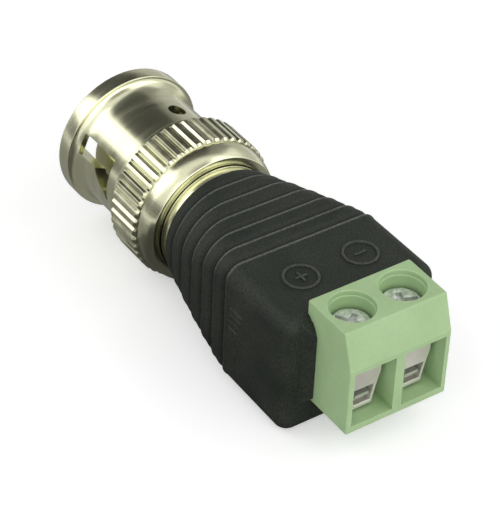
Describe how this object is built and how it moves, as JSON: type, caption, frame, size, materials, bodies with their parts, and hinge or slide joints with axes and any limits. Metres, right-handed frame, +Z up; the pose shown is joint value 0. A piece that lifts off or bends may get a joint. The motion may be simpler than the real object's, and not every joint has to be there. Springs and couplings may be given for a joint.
{
  "type": "bayonet plug to screw terminal adapter",
  "caption": "Adapter with a knurled bayonet coaxial plug at one end and a green screw terminal block with rising wire clamps at the other, joined by a tapered ribbed black housing.",
  "frame": {"origin": "Centre of the plug's mouth, on the axis of the coupling nut and of the centre pin.", "axes": "+X runs from the mouth back to the screw terminals, +Z points up out of the screw wells, +Y completes a right handed frame, so the + pole is on -Y."},
  "size_m": [0.0427, 0.0154, 0.0151],
  "materials": {
    "nickel_plate": "bright nickel plating, warm, slightly worn on edges",
    "steel": "plain spring steel",
    "gasket_rubber": "dull black rubber",
    "insulator": "waxy white",
    "gold_plate": "gold plated",
    "tinned_brass": "tin plated brass",
    "lead_sleeve": "sleeved copper wire",
    "housing_black": "satin, slightly rubbery",
    "terminal_green": "satin moulded",
    "zinc_plate": "bright zinc plating",
    "screw_zinc": "bright zinc plating"
  },
  "bodies": {
    "adapter": {"connector_body": "nickel_plate", "rear_collar": "nickel_plate", "outer_contact": "nickel_plate", "sealing_gasket": "gasket_rubber", "front_insulator": "insulator", "rear_insulator": "insulator", "centre_pin": "gold_plate", "wave_washer": "steel", "ground_tag": "tinned_brass", "signal_lead": "lead_sleeve", "ground_lead": "lead_sleeve", "housing": "housing_black", "terminal_block": "terminal_green", "contact_blade_plus": "tinned_brass", "contact_blade_minus": "tinned_brass"},
    "nut_thrust": {"thrust_washer": "steel"},
    "nut": {"coupling_nut": "nickel_plate"},
    "screw_plus": {"clamp_screw_plus": "screw_zinc"},
    "screw_minus": {"clamp_screw_minus": "screw_zinc"},
    "cage_plus": {"clamp_cage_plus": "zinc_plate"},
    "cage_minus": {"clamp_cage_minus": "zinc_plate"}
  },
  "joints": [
    {"name": "nut_slide", "type": "slide", "parent": "adapter", "child": "nut_thrust", "axis": [-1, 0, 0], "range_m": [0, 0.001], "stiffness_N_per_m": 5000, "springref_m": -0.001, "deforming": ["wave_washer"]},
    {"name": "nut_spin", "type": "hinge", "parent": "nut_thrust", "child": "nut", "pos_m": [0, 0, 0], "axis": [1, 0, 0], "continuous": true},
    {"name": "screw_plus_turn", "type": "hinge", "parent": "adapter", "child": "screw_plus", "pos_m": [0.03905, -0.00254, 0.005], "axis": [0, 0, -1], "range_deg": [-101, 396.1]},
    {"name": "screw_minus_turn", "type": "hinge", "parent": "adapter", "child": "screw_minus", "pos_m": [0.03905, 0.00254, 0.005], "axis": [0, 0, -1], "range_deg": [-101, 396.1]},
    {"name": "cage_plus_lift", "type": "slide", "parent": "adapter", "child": "cage_plus", "axis": [0, 0, 1], "range_m": [-0.00014, 0.00055]},
    {"name": "cage_minus_lift", "type": "slide", "parent": "adapter", "child": "cage_minus", "axis": [0, 0, 1], "range_m": [-0.00014, 0.00055]}
  ],
  "couplings": [
    {"joint": "screw_plus_turn", "follows": "cage_plus_lift", "rad_per_m": 12566},
    {"joint": "screw_minus_turn", "follows": "cage_minus_lift", "rad_per_m": 12566}
  ]
}
